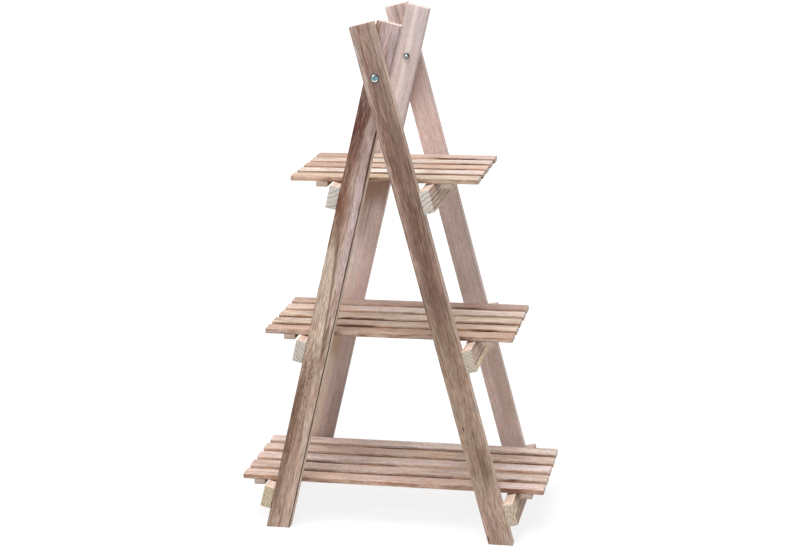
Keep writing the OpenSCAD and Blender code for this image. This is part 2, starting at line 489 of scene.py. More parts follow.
    # the wide faces darken towards their rubbed long edges
    inwards = (size[0] / 2 - abs(x)).most(size[1] / 2 - abs(y))
    ragged = (streak - 0.5) * 3.0 + (raggedness - 0.5) * 3.0
    rim = (1 - (inwards + ragged).rise(0.4, 2.1)) * (1 - endFace.most(sideFace))
    colour = paint.blend(rim * look["arrisDepth"], colour, tone(*look["arris"]))

    height = (1 - lateWood) * 0.35 + (1 - pores) * 0.45 + strand * 0.7 + streak * 0.4
    bump = paint.node(
        "Bump", {}, {"Height": height, "Strength": look["bump"], "Distance": look["bumpDepth"] * mm}
    )
    rough = look["rough"] + (strand - 0.5) * 0.2 + endFace * 0.1
    shader = paint.node(
        "BsdfPrincipled", {},
        {"Base Color": colour, "Roughness": rough, "Normal": bump, "Specular IOR Level": look["gloss"]},
    )
    return paint.surface(shader)


def dress(obj, material):
    obj.data.materials.clear()
    obj.data.materials.append(material)


# Modelling by hand

straight = 0.999  # share of a length that is near enough to all of it


def select(obj):
    bpy.ops.object.select_all(action="DESELECT")
    obj.select_set(True)
    bpy.context.view_layer.objects.active = obj


def pickEdges(obj, wanted):
    # in edit mode, selects the edges that pass a test
    bpy.ops.mesh.select_mode(type="EDGE")
    bpy.ops.mesh.select_all(action="DESELECT")
    edit = bmesh.from_edit_mesh(obj.data)
    for edge in edit.edges:
        if wanted(edge):
            edge.select_set(True)
    edit.select_flush_mode()
    bmesh.update_edit_mesh(obj.data)


def runsAlong(edge, axis):
    step = edge.verts[1].co - edge.verts[0].co
    return abs(step[axis]) > straight * step.length


def addBlock(name, size, height):
    # a plain block to be shaped further, in mm, with its middle at a height on the z axis
    bpy.ops.object.select_all(action="DESELECT")
    bpy.ops.mesh.primitive_cube_add(size=1, location=(0, 0, height * mm))
    block = bpy.context.object
    block.name = name
    block.scale = [side * mm for side in size]
    bpy.ops.object.transform_apply(location=True, rotation=True, scale=True)
    return block


def placed(obj, place):
    # settles a piece at its place, with its object left at the origin
    select(obj)
    obj.matrix_world = place
    bpy.ops.object.transform_apply(location=True, rotation=True, scale=True)
    return obj


def copied(obj, name):
    copy = obj.copy()
    copy.data = obj.data.copy()
    copy.name = name
    bpy.context.scene.collection.objects.link(copy)
    return copy


def settle(obj, node, material):
    # a finished piece stands for its node and moves with the node's body
    dress(obj, material)
    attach(obj, nodes[node]["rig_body"])
    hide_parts(node)


timberLook = {
    "ring": 9,  # mm between two rings of points along a board
    "across": 11,
    "arris": 1.1,  # radius of the rubbed long edges
    "endArris": 0.5,
    "wear": 0.35,  # the deepest dent
    "dent": 16,
    "smooth": 35,  # degrees, up to which an edge is shaded round
}
dents = bpy.data.textures.new("timberDents", "CLOUDS")
dents.noise_scale = timberLook["dent"] * mm
dents.noise_depth = 3


def boardPlace(start, along, across):
    # board axes: x across, y through and z along it
    through = along.cross(across)
    place = Matrix((across, through, along)).transposed().to_4x4()
    place.translation = start
    return place


def sawBoard(name, size, low, high, footLean=None):
    # a board from z = low to high, in mm, with rubbed edges; a leaning foot is cut at z = high
    look = timberLook
    width, thickness = size
    spare = 0 if footLean is None else width / 4
    length = high - low + spare
    board = addBlock(name, (width, thickness, length), low + length / 2)
    bpy.ops.object.mode_set(mode="EDIT")
    # points along, across and through the board, for the dents
    cuts = (
        (2, round(length / look["ring"])),
        (0, round(width / look["across"]) - 1),
        (1, round(thickness / look["across"]) - 1),
    )
    for axis, number in cuts:
        pickEdges(board, lambda edge: runsAlong(edge, axis))
        bpy.ops.mesh.subdivide(number_cuts=max(1, number))

    nearCorner = Vector((width, thickness)) / 2 * mm * straight

    def onCorner(edge):
        x, y = edge.verts[0].co.xy
        return runsAlong(edge, 2) and abs(x) > nearCorner.x and abs(y) > nearCorner.y

    pickEdges(board, onCorner)
    bpy.ops.mesh.bevel(offset=look["arris"] * mm, segments=3, affect="EDGES", clamp_overlap=False)
    foot = Vector((0, 0, 1))
    if footLean is not None:
        foot = Vector((math.sin(footLean), 0, math.cos(footLean)))
        bpy.ops.mesh.select_all(action="SELECT")
        bpy.ops.mesh.bisect(plane_co=(0, 0, high * mm), plane_no=foot, use_fill=True, clear_outer=True)

    def aroundEnd(edge):
        if len(edge.link_faces) != 2:
            return False
        normals = [face.normal for face in edge.link_faces]
        ends = [abs(normal.z) > straight or normal.dot(foot) > straight for normal in normals]
        return ends[0] != ends[1]

    pickEdges(board, aroundEnd)
    bpy.ops.mesh.bevel(offset=look["endArris"] * mm, segments=2, affect="EDGES", clamp_overlap=False)
    bpy.ops.object.mode_set(mode="OBJECT")
    return board


def wearBoard(board):
    # dents only go inwards, so the board keeps within its sawn size
    select(board)
    wear = board.modifiers.new("wear", "DISPLACE")
    wear.texture = dents
    wear.texture_coords = "LOCAL"
    wear.mid_level = 1
    wear.strength = timberLook["wear"] * mm
    bpy.ops.object.modifier_apply(modifier=wear.name)
    bpy.ops.object.shade_smooth_by_angle(angle=math.radians(timberLook["smooth"]))


def layBoard(model, node, place, size, seed, look, stretch=1):
    # a worn and grained copy of a sawn board in its node's place: start, along and across
    stretched = Matrix.Diagonal((1, 1, stretch, 1))
    board = placed(copied(model, node + "_board"), boardPlace(*place) @ stretched)
    wearBoard(board)
    settle(board, node, woodMaterial(node, *place, size, seed, look))


# Legs: x runs to the right across the wide face and z down from the top end

legSize = {"lean": 14, "width": 45, "thickness": 20, "belowTop": 98, "length": 1000}

legLooks = {
    "near_outer_leg": {
        "pith": (150, 20), "ringGap": 3.4, "ringDepth": 0.36, "sway": 12,
        "pale": (186, 161, 147), "deep": (98, 66, 50), "tint": (166, 140, 130), "tintDepth": 0.3,
        "streakDepth": 0.62, "strandDepth": 0.45, "bandDepth": 0.2, "mottleDepth": 0.35, "shade": 0.34,
        "fineDepth": 1.05, "fibre": (2.3, 2.3, 36), "grit": (1.1, 1.1, 16),
        "hueDepth": 0.3, "lineDepth": 0.8,
        "side": (236, 214, 198), "sideDepth": 0.9, "end": (224, 202, 192),
        "marks": [
            markAt((-10, 130), (-30, -8), (206, 184, 174), 0.5, streaky=0.2, wander=3),
            markAt((-10, 300), (-13, -5), (122, 78, 62), 0.55, fade=3, streaky=0.5, wander=6),
            markAt((60, 300), (-9, 5), (92, 60, 46), 0.5, fade=5, streaky=0.7, wander=12),
            markAt((20, 280), (1, 19), (126, 106, 92), 0.55, fade=5, streaky=0.2),
            markAt((190, 540), (-12, 24), (102, 74, 58), 0.36, fadeAlong=60, fade=6, wander=14,
                   streaky=0.2),
            markAt((320, 590), (-9, 9), (86, 50, 30), 0.45, fadeAlong=50, fade=7, wander=16, streaky=0.25),
            markAt((480, 650), (-30, 20), (96, 68, 50), 0.36, fadeAlong=40, fade=8, wander=20, streaky=0.3),
            markAt((-10, 80), (7, 30), (178, 156, 146), 0.35, fade=4, streaky=0.3),
            markAt((180, 620), (5, 26), (94, 58, 38), 0.26, fadeAlong=60, fade=5, wander=10),
            markAt((560, 900), (-30, 30), (170, 148, 124), 0.45, fadeAlong=50, streaky=0.3),
            markAt((570, 790), (-6, 10), (110, 80, 60), 0.4, fadeAlong=60, fade=6, wander=20, speckled=0.6),
            markAt((760, 768), (-12.5, -9.5), (84, 48, 34), 0.8, fade=1.2, fadeAlong=3, wander=0,
                   wanderAlong=0),
            markAt((806, 870), (0, 17), (92, 68, 44), 0.75, fade=5, fadeAlong=18, wanderAlong=30,
                   streaky=0.5),
            markAt((835, 856), (-19, -9), (100, 72, 48), 0.55, fade=4, fadeAlong=14, wanderAlong=30,
                   streaky=0.6),
            markAt((880, 1100), (-30, 30), (178, 152, 136), 0.45, fadeAlong=40, streaky=0.2),
            markAt((890, 1100), (6, 30), (200, 176, 160), 0.4, fadeAlong=30, streaky=0.2),
            markAt((979, 990), (-21, -18), (70, 50, 40), 0.85, fade=1, fadeAlong=4, wander=0,
                   wanderAlong=0),
        ],
    },
    "near_inner_leg": {
        "pith": (-22, -48.5), "pithDrift": (0, 0.05), "ringGap": 7, "ringDepth": 0.22, "sway": 9,
        "pale": (206, 184, 172), "deep": (98, 68, 52), "tint": (190, 162, 160), "tintDepth": 0.4,
        "streakDepth": 0.45, "strandDepth": 0.6, "bandDepth": 0.3, "mottleDepth": 0.4, "shade": 0.24,
        "side": (228, 212, 190), "sideDepth": 0.9, "end": (238, 220, 210),
        "fineDepth": 1.0, "fibre": (2.3, 2.3, 36), "grit": (1.1, 1.1, 16),
        "hueDepth": 0.25, "lineDepth": 0.7,
        "marks": [
            markAt((-50, 110), (-40, -12), (122, 82, 60), 0.5, streaky=0.5),
            markAt((110, 270), (-40, 3), (84, 38, 16), 0.96, fade=7, wander=14, streaky=0.4, fadeAlong=50),
            markAt((240, 430), (-40, -8), (104, 58, 28), 0.9, fade=4, wander=8, streaky=0.4),
            markAt((-50, 140), (-9, 30), (190, 168, 168), 0.75, fade=4, wander=5),
            markAt((120, 320), (5, 18), (176, 152, 148), 0.6, fade=4, wander=8),
            markAt((300, 500), (5, 18), (202, 182, 182), 0.62, fade=4, wander=8),
            markAt((290, 480), (-10, 7), (150, 118, 98), 0.5, fade=4, fadeAlong=40, wander=10, streaky=0.3),
            markAt((320, 460), (-14, -1), (122, 80, 54), 0.6, fade=3, fadeAlong=30, wander=8, streaky=0.3),
            markAt((300, 1100), (-60, 40), (184, 162, 140), 0.7, rings=(-50, 40), fadeAlong=60,
                   streaky=0.25),
            markAt((480, 760), (-60, 40), (136, 106, 80), 0.7, rings=(41.5, 46), ringFade=1, fadeAlong=30,
                   streaky=0.7),
            markAt((560, 760), (-60, 40), (200, 178, 156), 0.5, rings=(46, 52), ringFade=1, fadeAlong=30,
                   streaky=0.3),
            markAt((400, 600), (-22, 9), (208, 190, 172), 0.45, fade=5, fadeAlong=50, streaky=0.3,
                   wander=8),
            markAt((490, 640), (-10, 7), (222, 204, 188), 0.5, fade=4, fadeAlong=40, wander=6),
            markAt((380, 432), (-40, -19.5), (110, 68, 42), 0.8, fade=1.5, fadeAlong=8, wander=3,
                   wanderAlong=10),
            markAt((500, 700), (-24, 2), (130, 98, 68), 0.3, fade=6, speckled=1, wander=14),
            markAt((600, 700), (-24, 6), (200, 178, 160), 0.3, fade=6, wander=10),
            markAt((640, 860), (-19, 8), (104, 66, 40), 0.6, fade=6, speckled=0.8, wander=14),
            markAt((690, 960), (-40, -8), (94, 60, 40), 0.75, fade=5, streaky=0.3, wander=8, fadeAlong=40),
            markAt((940, 1100), (-40, -12), (110, 78, 60), 0.45, fade=5, streaky=0.3, wander=8,
                   fadeAlong=40),
            markAt((800, 1100), (-10, 14), (166, 136, 122), 0.65, fade=6, fadeAlong=50, streaky=0.2),
            markAt((4, 118), (19.6, 21.6), (112, 88, 68), 0.85, fade=0.5, fadeAlong=3, wander=1,
                   streaky=0.5, facing="front"),
            markAt((390, 640), (-60, 40), (92, 60, 38), 0.75, rings=(38.9, 41.4), ringFade=0.9,
                   fadeAlong=30, streaky=0.35),
            markAt((585, 640), (9, 14), (104, 78, 54), 0.5, fade=1.5, fadeAlong=12, wander=4),
            markAt((680, 1100), (8, 19), (210, 184, 168), 0.5, fade=3, fadeAlong=40, streaky=0.2),
            markAt((600, 720), (12, 20), (128, 98, 74), 0.4, fade=2, fadeAlong=20, wander=4, streaky=0.7),
            markAt((700, 990), (16, 17.4), (140, 104, 84), 0.5, fade=0.6, wander=2, streaky=0.4,
                   facing="front"),
            markAt((946, 972), (-5, -1), (104, 72, 56), 0.7, fade=1.2, fadeAlong=8, wander=4, streaky=0.3),
            markAt((140, 300), (18.3, 21.6), (64, 38, 28), 0.95, fade=0.9, wander=2, facing="front"),
            markAt((270, 1100), (19.7, 22), (64, 40, 28), 0.95, fade=0.6, wander=2, facing="front"),
        ],
    },
    "far_inner_leg": {
        "pith": (60, 160), "ringGap": 8, "ringDepth": 0.25, "sway": 10,
        "pale": (238, 222, 216), "deep": (170, 144, 136), "tint": (218, 196, 198), "tintDepth": 0.5,
        "streakDepth": 0.6, "strandDepth": 0.35, "bandDepth": 0.5, "mottleDepth": 0.2, "shade": 0.14,
        "side": (206, 190, 168), "sideDepth": 0.6, "end": (246, 232, 224),
        "fineDepth": 0.35, "hueDepth": 0.2, "lineDepth": 0.2,
        "marks": [
            markAt((-50, 200), (-40, -13), (210, 190, 180), 0.5, fade=3, wander=6),
            markAt((-50, 260), (-7, 2), (240, 230, 224), 0.55, fade=3.5, wander=7),
            markAt((-50, 330), (3, 40), (200, 184, 184), 0.6, fade=3, wander=7),
            markAt((300, 480), (-40, -10), (166, 134, 116), 0.6, fade=4, wander=10, streaky=0.3),
            markAt((330, 700), (-10, 40), (212, 188, 180), 0.65, fadeAlong=60),
            # painted shade on the front face under the top shelf
            markAt((316, 396), (-40, 40), (142, 108, 82), 0.86, fadeAlong=28, wanderAlong=16, streaky=0.1,
                   facing="front"),
            markAt((376, 500), (-8, -3), (120, 102, 100), 0.5, fade=2, fadeAlong=25, wander=5, streaky=0.2),
            markAt((500, 620), (-4, 40), (240, 214, 208), 0.55, fade=5, fadeAlong=30),
            markAt((470, 640), (-40, 0), (246, 226, 218), 0.75, fade=6, fadeAlong=40),
            markAt((620, 1100), (-40, -8), (212, 190, 166), 0.65, fade=5, fadeAlong=50),
            markAt((640, 1100), (-9, 40), (166, 140, 128), 0.65, fade=5, fadeAlong=50),
            markAt((770, 1100), (4, 40), (134, 108, 98), 0.35, fade=4, fadeAlong=40),
            # painted shade, browner, on the front face under the middle shelf
            markAt((664, 730), (-40, -4), (172, 142, 106), 0.65, fade=4, fadeAlong=20, wanderAlong=16,
                   facing="front"),
        ],
    },
    "far_outer_leg": {
        "pith": (-200, 60), "ringGap": 3.2, "ringDepth": 0.35, "sway": 8,
        "pale": (226, 206, 198), "deep": (144, 120, 112), "tint": (210, 188, 184), "tintDepth": 0.4,
        "streakDepth": 0.5, "strandDepth": 0.4, "bandDepth": 0.4, "mottleDepth": 0.2, "shade": 0.16,
        "side": (206, 188, 172), "sideDepth": 0.6, "end": (240, 224, 212),
        "fineDepth": 0.45, "hueDepth": 0.2,
        "marks": [
            markAt((-50, 90), (-9, 3), (134, 98, 84), 0.6, fade=4, streaky=0.6, wander=5),
            markAt((-50, 90), (8, 16), (140, 106, 92), 0.5, fade=4, streaky=0.6, wander=5),
            markAt((100, 190), (-12, 40), (184, 160, 152), 0.45, fade=5, fadeAlong=30, streaky=0.3),
            markAt((190, 330), (-40, 40), (230, 204, 198), 0.5, fadeAlong=40),
            markAt((200, 300), (-40, -8), (246, 216, 208), 0.4, fadeAlong=30),
            markAt((330, 490), (-40, 40), (190, 172, 162), 0.5, fadeAlong=40, streaky=0.3),
            markAt((490, 640), (-40, 40), (212, 196, 190), 0.5, fadeAlong=40, streaky=0.3),
            markAt((640, 1100), (-40, 40), (226, 204, 194), 0.55, fadeAlong=40, streaky=0.3),
            markAt((690, 860), (-4, 40), (178, 156, 140), 0.5, fade=5, fadeAlong=30, streaky=0.3),
            markAt((760, 1100), (-40, -2), (240, 218, 208), 0.4, fade=5, fadeAlong=30, streaky=0.3),
        ],
    },
}


def leanAxes(frameSide):
    # up along a leg and outwards across it, on the outer frame (1) or the inner frame (-1)
    lean = math.radians(legSize["lean"])
    up = Vector((-frameSide * math.sin(lean), 0, math.cos(lean)))
    out = Vector((frameSide * math.cos(lean), 0, math.sin(lean)))
    return up, out


pivotHeight = (legSize["length"] - legSize["belowTop"]) * math.cos(math.radians(legSize["lean"])) * mm
size = (legSize["width"], legSize["thickness"])
oneLeg = {
    side: sawBoard(f"leg{side}", size, 0, legSize["length"], math.radians(-side * legSize["lean"]))
    for side in (1, -1)
}
for seed, (name, look) in enumerate(legLooks.items()):
    frameSide = 1 if "outer" in name else -1
    up, out = leanAxes(frameSide)
    low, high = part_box(name)
    top = Vector((0, (low.y + high.y) / 2, pivotHeight)) + up * legSize["belowTop"] * mm
    place = (top, -up, out * frameSide)
    layBoard(oneLeg[frameSide], name, place, size, 10 + seed, look)
for board in oneLeg.values():
    bpy.data.objects.remove(board)
print("legs sawn and grained")


# Rails: x runs up the wide face on the outer frame and down it on the inner, y outwards and z to the back

railLook = {
    "pale": (206, 186, 166), "deep": (112, 88, 74), "tint": (214, 184, 168), "tintDepth": 0.5,
    "ringDepth": 0.95, "streakDepth": 0.35, "bandDepth": 0.2, "side": (240, 216, 202), "sideDepth": 0.85,
    "endDeep": (136, 122, 110), "arris": (120, 96, 78), "arrisDepth": 0.2, "hueDepth": 0.2,
}
railEnds = {
    "outer_top": (214, 205, 197), "outer_middle": (204, 194, 178), "outer_bottom": (208, 194, 176),
    "inner_top": (208, 202, 196), "inner_middle": (208, 199, 192), "inner_bottom": (206, 192, 164),
}
railStains = {"bottom": 0.65, "middle": 0.4, "top": 0.25}
railMarks = {
    "outer_middle": [
        markAt((-200, 200), (-24, -10), (236, 216, 180), 0.7, fade=2, wander=3, facing="wide"),
        markAt((-200, 200), (-8, -5), (84, 56, 40), 0.5, fade=1.2, wander=3, facing="wide"),
    ],
    "outer_bottom": [
        markAt((-200, 200), (-24, 24), (120, 82, 54), 0.45, streaky=0.3, facing="wide"),
        # painted light: a lit patch on the wide face near the front end, where the shelf's shadow does not
        # fall
        markAt((-200, -132), (-2, 24), (224, 206, 178), 0.6, fade=3, fadeAlong=7, wander=4, wanderAlong=10,
               facing="wide"),
    ],
}
railSize = {"height": 43, "thickness": 20}
railPiths = {"bottom": (18, -50), "middle": (-40, -34), "top": (-46, 24)}
levels = ["bottom", "middle", "top"]

size = (railSize["height"], railSize["thickness"])
for frameName, frameSide in (("outer", 1), ("inner", -1)):
    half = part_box(f"{frameName}_top_rail")[1].y / mm
    oneRail = sawBoard(f"{frameName}Rail", size, -half, half)
    for number, level in enumerate(levels):
        name = f"{frameName}_{level}_rail"
        up, out = leanAxes(frameSide)
        low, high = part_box(name)
        middle = (low + high) / 2
        seed = 20 + 3 * number + (frameSide > 0)
        look = {
            **railLook, "pith": railPiths[level], "ringGap": 5.5 + number,
            "end": railEnds[f"{frameName}_{level}"], "endStain": railStains[level],
            "marks": railMarks.get(f"{frameName}_{level}", []),
        }
        layBoard(oneRail, name, (middle, toBack, up * frameSide), size, seed, look)
    bpy.data.objects.remove(oneRail)
print("rails sawn and grained")


# Slats: x runs to the back, y up and z to the right

slatSize = {"width": 32, "thickness": 10, "uneven": 0.8}  # uneven: mm that a slat's ends may fall short
slatSpread = random.Random(7)
slatLook = {
    "ringDepth": 0.35, "streakDepth": 0.55, "strandDepth": 0.6, "bandDepth": 0.4, "mottleDepth": 0.35,
    "tintDepth": 0.5, "sway": 18, "fineDepth": 0.6, "lineDepth": 1.0, "hueDepth": 0.3,
    "end": (206, 194, 186), "endDeep": (150, 134, 124), "arris": (120, 84, 64), "arrisDepth": 0.1,
    "frontDepth": 1.0,
}
# slat tones, and below them each slat's share of the deep tone: some rear slats of the lower shelves are
# paler, partly the wood's tone and partly painted light against the shade of the shelf above and the legs
slatTones = {
    "top": [(216, 202, 184), (226, 217, 207), (217, 192, 176), (217, 209, 198), (211, 191, 179)],
    "middle": [(206, 180, 162), (224, 207, 190), (232, 216, 196), (238, 221, 207), (210, 185, 171)],
    "bottom": [(220, 198, 186), (218, 201, 189), (236, 218, 210), (230, 210, 196), (246, 229, 219)],
}
slatShades = {
    "top": (0.14, 0.15, 0.2, 0.14, 0.24), "middle": (0.18, 0.15, 0.1, 0.0, 0.08),
    "bottom": (0.16, 0.14, 0.06, 0.04, 0.0),
}
slatDeeps = {"top": (174, 130, 102), "middle": (138, 97, 70), "bottom": (150, 110, 84)}
slatTints = {"top": (218, 193, 178), "middle": (206, 179, 164), "bottom": (212, 187, 177)}
# slat fronts darken below the lip: partly a stained edge, partly painted shade in the gaps between slats
slatFronts = {
    "top": [(200, 176, 154), (188, 154, 132), (186, 150, 130), (180, 146, 126), (190, 158, 142)],
    "middle": [(194, 170, 154), (174, 138, 106), (166, 132, 98), (178, 148, 116), (176, 142, 118)],
    "bottom": [(192, 160, 140), (188, 154, 126), (184, 150, 122), (178, 144, 110), (180, 146, 118)],
}
slatFrontDeepsAndShade = {"top": (122, 82, 62), "middle": (92, 52, 30), "bottom": (104, 66, 42)}
slatShadeLips = {"top": 3.4, "middle": 2.4, "bottom": 1.4}
# the front slat's lower front is paler: painted light, as no slat in front shades it
litForemost = {"frontDeep": (148, 110, 90), "lip": 4.0}  # the front slat of each shelf, seen in full
slatDark = (84, 34, 10)
slatPale = (214, 182, 162)
slatMarks = {
    # dark stretches of a slat's front: from, to, depth
    "top_1": [(-84, -54, 0.2), (-34, 24, 0.25)],
    "top_2": [(-175, -90, 0.2), (60, 110, 0.5), (110, 170, 0.3)],
    "top_3": [(40, 80, 0.6), (122, 134, 0.8)],
    "top_4": [(110, 160, 0.6)],
    "top_5": [(60, 100, 0.8), (118, 135, 0.9)],
    "middle_1": [(30, 84, 0.22)],
    "middle_2": [(-110, -30, 1.0), (150, 190, 0.8)],
    "middle_3": [(-110, -20, 0.85), (150, 240, 0.45)],
    "middle_4": [(-60, 20, 0.3)],
    "middle_5": [(-44, -34, 0.8), (90, 150, 0.6)],
    "bottom_1": [(100, 158, 0.3), (186, 216, 0.3), (216, 250, 0.5), (-250, -205, 0.15)],
    "bottom_2": [(-200, -120, 0.5), (0, 110, 0.5), (215, 240, 0.9)],
    "bottom_3": [(-200, -130, 0.6), (-30, -10, 0.5), (220, 250, 0.6)],
    "bottom_4": [(-100, -20, 0.3), (220, 260, 0.5)],
    "bottom_5": [(-60, 10, 0.4), (210, 240, 0.2)],
}
slatLights = {
    # pale stretches of a slat's front, likewise
    "top_1": [(-175, -112, 1.0)],
    "top_3": [(-40, 100, 0.4), (135, 175, 0.4)],
    "top_4": [(-175, -60, 1.2)],
    "top_5": [(-175, -90, 0.8), (10, 60, 0.9)],
    "middle_1": [(212, 236, 0.8)],
    "middle_4": [(-236, 0, 0.8), (100, 236, 0.4)],
    "middle_5": [(-236, 0, 0.8), (150, 236, 0.3)],
    "bottom_2": [(-293, -210, 0.6), (240, 290, 0.3)],
    "bottom_3": [(-293, -210, 0.6), (0, 290, 1.2)],
    "bottom_4": [(-293, -90, 0.35), (0, 100, 0.4)],
    "bottom_5": [(-293, -90, 0.65), (20, 90, 0.2)],
}
slatPatches = {
    # stretches of another tone on a slat's top: from, to, tone, depth. The palest, between the legs on the
    # top shelf and in the middle of the lower shelves, are painted light against the shadows of the legs
    # and shelves
    "top_1": [(-175, -90, (190, 162, 140), 0.5), (-50, 26, (255, 228, 194), 1.0)],
    "top_2": [(-50, 60, (255, 246, 236), 1.0), (90, 175, (232, 222, 220), 0.4)],
    "top_3": [(-175, -90, (168, 128, 112), 0.65)],
    "top_5": [(-175, -90, (158, 126, 114), 0.65), (100, 175, (198, 176, 162), 0.5)],
    "middle_1": [(0, 100, (136, 106, 88), 0.4)],
    "middle_3": [(0, 100, (240, 216, 200), 0.9)],
    "middle_4": [(-100, 90, (250, 234, 226), 0.8)],
    "middle_5": [(-100, 0, (214, 188, 174), 0.5), (110, 236, (146, 122, 110), 0.4)],
    "bottom_1": [(-200, -100, (236, 204, 182), 0.6), (0, 200, (168, 134, 120), 0.3),
                 (210, 293, (228, 212, 208), 0.5)],
    "bottom_3": [(0, 100, (232, 206, 194), 0.4), (200, 293, (236, 226, 230), 0.6)],
    "bottom_4": [(0, 100, (232, 198, 168), 0.65)],
    "bottom_5": [(-200, -10, (238, 216, 206), 0.65), (0, 110, (255, 240, 232), 1.0)],
}


def slatFace(level, number):
    # the marks on one slat
    key = f"{level}_{number}"
    found = [(*stretch[:2], slatDark, stretch[2], "front") for stretch in slatMarks.get(key, [])]
    found += [(*stretch[:2], slatPale, stretch[2], "front") for stretch in slatLights.get(key, [])]
    found += [(*stretch, "top") for stretch in slatPatches.get(key, [])]
    edge = {"fadeAlong": 14, "wanderAlong": 40, "streaky": 0.4}
    return [
        markAt((start, end), (-40, 40), shade, depth, facing=facing, **edge)
        for start, end, shade, depth, facing in found
    ]


size = (slatSize["width"], slatSize["thickness"])
for levelNumber, level in enumerate(levels):
    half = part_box(f"{level}_shelf_slat_1")[1].x / mm
    oneSlat = sawBoard(f"{level}Slat", size, -half, half)
    for number in range(1, 6):
        name = f"{level}_shelf_slat_{number}"
        low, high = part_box(name)
        middle = (low + high) / 2
        pale = slatTones[level][number - 1]
        front = slatFronts[level][number - 1]
        look = {
            **slatLook, "pale": pale, "deep": slatDeeps[level], "tint": slatTints[level],
            "shade": slatShades[level][number - 1], "front": front,
            "frontDeep": litForemost["frontDeep"] if number == 1 else slatFrontDeepsAndShade[level],
            "frontLip": litForemost["lip"] if number == 1 else slatShadeLips[level],
            "pith": ((number * 37) % 50 - 25, -40 - 9 * number),
            "pithDrift": (0.01 * (number - 3), 0.015 * (levelNumber + 1)),
            "ringGap": 4 + (number * 1.7) % 3,
            "marks": slatFace(level, number),
        }
        seed = 40 + 7 * levelNumber + number
        place = (Vector((0, middle.y, middle.z)), toRight, toBack)
        shorter = 1 - slatSize["uneven"] * slatSpread.random() / half
        layBoard(oneSlat, name, place, size, seed, look, shorter)
    bpy.data.objects.remove(oneSlat)
print("slats sawn and grained")


# Battens: x runs up, y to the right and z to the back

battenSize = {"width": 22, "thickness": 10}
battenLook = {
    "pale": (206, 188, 160), "deep": (140, 112, 86), "tint": (200, 176, 156), "tintDepth": 0.4,
    "ringDepth": 0.6, "ringGap": 3.6, "end": (202, 184, 172), "endDeep": (138, 116, 102),
    "arrisDepth": 0.15,
}

size = (battenSize["thickness"], battenSize["width"])
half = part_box("top_shelf_left_batten")[1].y / mm
oneBatten = sawBoard("batten", size, -half, half)
for levelNumber, level in enumerate(levels):
    for sideNumber, side in enumerate(("left", "right")):
        name = f"{level}_shelf_{side}_batten"
        low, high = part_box(name)
        middle = (low + high) / 2
        look = {**battenLook, "pith": (-30 - 8 * levelNumber, 20 - 30 * sideNumber)}
        seed = 80 + 2 * levelNumber + sideNumber
        layBoard(oneBatten, name, (middle, toBack, upright), size, seed, look)
bpy.data.objects.remove(oneBatten)
print("battens sawn and grained")


# Steel

steelLook = {"cloudy": 0.3, "scuffed": 0.12, "bump": 0.25, "bumpDepth": 0.05}
nailLook = {"pale": (150, 150, 152), "deep": (96, 94, 94), "rough": 0.42, "spot": 1.2}


def steelMaterial(name, look, seed, axisHeight=0):
    # reflection zones are painted highlights, reflections and shade round the pivot axis: radii in mm, arc
    # in degrees from the right.
    # They lie further out than beyond, or those with nearMiddle nearer the middle of the stand.
    look = {**steelLook, **look}
    paint = Paint(bpy.data.materials.new(name))
    place = paint.node("TexCoord", {}, {}, "Object")
    spot = look["spot"] * mm
    cloud = paint.noise(place, (spot, spot, spot), seed, 3, 0.6)
    fine = paint.noise(place, (spot / 9, spot / 9, spot / 9), seed + 5, 2, 0.6)
    colour = paint.blend(cloud.rise(0.35, 0.7), tone(*look["pale"]), tone(*look["deep"]))
    if "zones" in look:
        x, y, z = paint.parts(place)
        up = z - axisHeight
        radius = (x * x + up * up) ** 0.5 / mm
        angle = up.maths("ARCTAN2", up, x) * math.degrees(1)
        beyond = (abs(y) / mm).rise(look["beyond"], look["beyond"] + 0.3)
        # each zone paints a highlight, reflection or shade into the base colour
        for reflectionZone in look["zones"]:
            mask = radius.within(reflectionZone["from"], reflectionZone["to"], look["fade"]) * reflectionZone["depth"]
            there = 1 - beyond if "nearMiddle" in reflectionZone else beyond
            if "arc" in reflectionZone:
                mask = mask * angle.within(*reflectionZone["arc"], look["arcFade"])
            colour = paint.blend(mask * there * (cloud * 0.5 + 0.75), colour, tone(*reflectionZone["tone"]))
    rough = look["rough"] + (cloud - 0.5) * look["cloudy"] + (fine - 0.5) * look["scuffed"]
    bump = paint.node(
        "Bump", {}, {"Height": fine, "Strength": look["bump"], "Distance": look["bumpDepth"] * mm}
    )
    shader = paint.node(
        "BsdfPrincipled", {},
        {"Base Color": colour, "Metallic": 1, "Roughness": rough, "Normal": bump},
    )
    return paint.surface(shader)


plainSteel = steelMaterial("nailSteel", nailLook, 8)
for name in nodes:
    if name.endswith("nails") or name.endswith("brads"):
        dress(nodes[name], plainSteel)
print("nails finished")


# Pivot hardware: z runs inwards along the bolt from the outer leg's face

